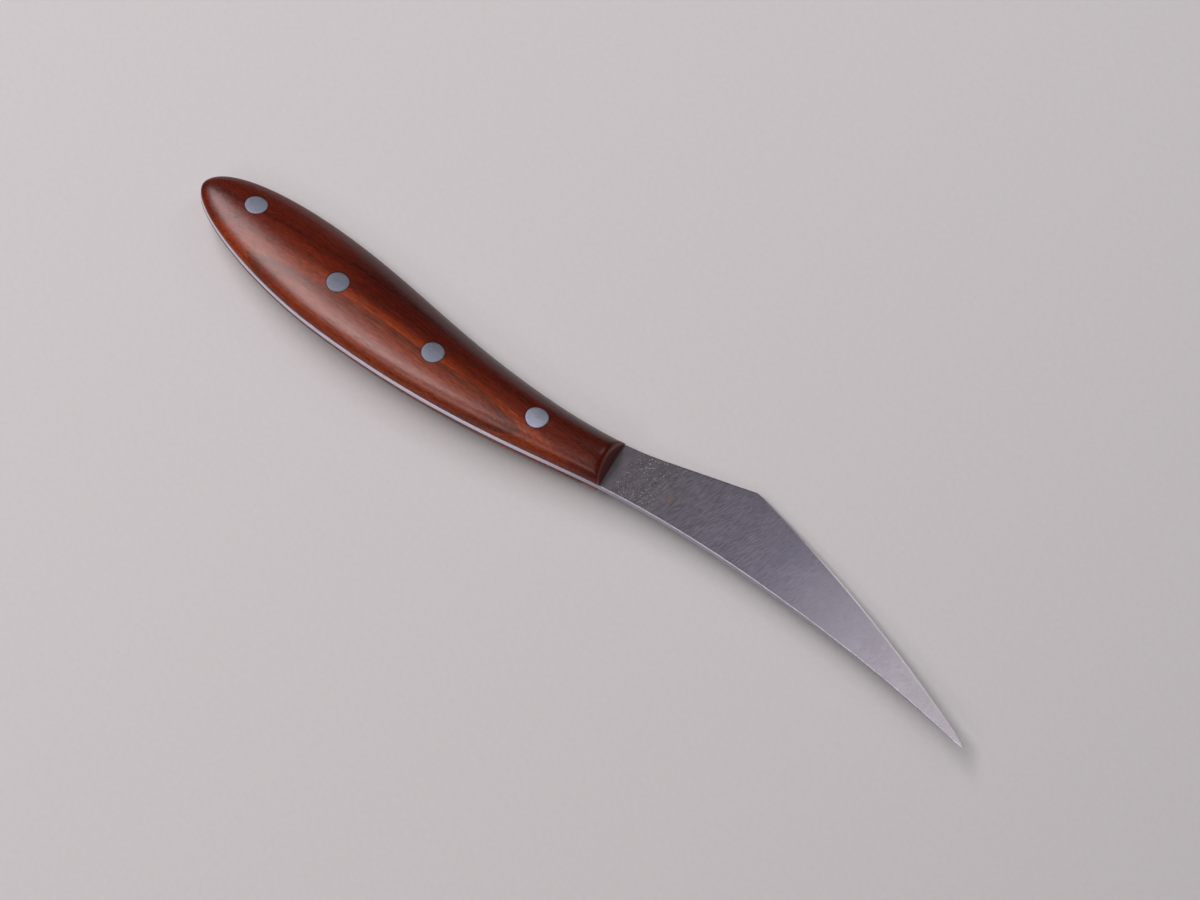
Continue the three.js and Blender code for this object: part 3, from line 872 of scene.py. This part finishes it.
def softbox(name, target, drawn, drawn_along, distance, length, width, power, colour):
    """A soft light facing a target. Its direction and its length's direction are in the drawing frame."""
    direction = drawn_direction(*drawn)
    along = drawn_direction(*drawn_along)
    across = direction.cross(along).normalized()
    along = across.cross(direction)
    light = bpy.data.lights.new(name, "AREA")
    light.shape, light.size, light.size_y = "RECTANGLE", length, width
    light.energy, light.color = power, colour
    made = bpy.data.objects.new(name, light)
    made.location = target + direction * distance
    made.rotation_mode = "QUATERNION"
    made.rotation_quaternion = Matrix((along, across, direction)).transposed().to_quaternion()
    bpy.context.scene.collection.objects.link(made)


KEY_AIM, TIP_AIM = (55, 0, 3), (185, 4, 0)  # points on the handle and by the tip, in the drawing frame
WORLD_COLOUR, WORLD_STRENGTH = (0.95, 0.96, 1.0, 1), 0.06


def lights():
    """A long key light whose far end bends round the front of the handle, and a card for the tip."""
    handle = Vector(place([KEY_AIM])[0])
    tip = Vector(place([TIP_AIM])[0])
    along = (-0.51, 0.86, 0.09)
    softbox(
        "key", handle, drawn=(-0.480, -0.219, 0.850), drawn_along=along,
        distance=1.11, length=1.45, width=0.33, power=14.8, colour=(1.0, 0.895, 0.905),
    )
    softbox(
        "key_end", handle, drawn=(-0.066, -0.863, 0.50), drawn_along=along,
        distance=1.48, length=0.56, width=0.28, power=2.4, colour=(1.0, 0.90, 0.915),
    )
    softbox(
        "tip_card", tip, drawn=(-0.20, 0.52, 0.83), drawn_along=(1, 0, 0),
        distance=0.35, length=0.12, width=0.15, power=0.09, colour=(1.0, 0.97, 1.0),
    )
    world = bpy.data.worlds.new("studio")
    world.use_nodes = True
    background = world.node_tree.nodes["Background"]
    background.inputs["Color"].default_value = WORLD_COLOUR
    background.inputs["Strength"].default_value = WORLD_STRENGTH
    bpy.context.scene.world = world
    bpy.context.scene.view_settings.view_transform = "Standard"


CAMERA_AZIMUTH, CAMERA_ELEVATION = math.radians(44.90), math.radians(67.31)
CAMERA_ROLL = math.radians(-5.66)
CAMERA_DISTANCE = 1.2153
CAMERA_TARGET_X, CAMERA_TARGET_Y = 0.00226, 0.00588  # along the knife and across its flat, in metres
LENS, SENSOR_WIDTH = 180, 36
CLIP = (0.05, 20)


def camera():
    """The view of the knife from above its palm side, a little turned."""
    target = Vector((
        CAMERA_TARGET_X,
        ORIGIN[1] / 1000 + CAMERA_TARGET_Y * ROLL_COS,
        ORIGIN[2] / 1000 - CAMERA_TARGET_Y * ROLL_SIN,
    ))
    back = Vector((
        math.sin(CAMERA_AZIMUTH) * math.cos(CAMERA_ELEVATION),
        -math.cos(CAMERA_AZIMUTH) * math.cos(CAMERA_ELEVATION),
        math.sin(CAMERA_ELEVATION),
    ))
    lens = bpy.data.cameras.new("camera")
    lens.lens, lens.sensor_width = LENS, SENSOR_WIDTH
    lens.clip_start, lens.clip_end = CLIP
    level = Vector((math.cos(CAMERA_AZIMUTH), math.sin(CAMERA_AZIMUTH), 0))
    above = back.cross(level)
    right = math.cos(CAMERA_ROLL) * level + math.sin(CAMERA_ROLL) * above
    made = bpy.data.objects.new("camera", lens)
    made.location = target + back * CAMERA_DISTANCE
    made.rotation_mode = "QUATERNION"
    made.rotation_quaternion = Matrix((right, back.cross(right), back)).transposed().to_quaternion()
    bpy.context.scene.collection.objects.link(made)
    bpy.context.scene.camera = made


# ---- The knife ----

camera()
lights()
floor()
blade_and_tang()
glue = epoxy()
film("glue_upper", 1, "bond_film_upper", glue)
film("glue_lower", -1, "bond_film_lower", glue)
scale("scale_upper", 1, "handle_scale_upper", wood("wood_upper", 1))
scale("scale_lower", -1, "handle_scale_lower", wood("wood_lower", -1))
for number in range(len(PIN_OFFSETS)):
    pin(number)
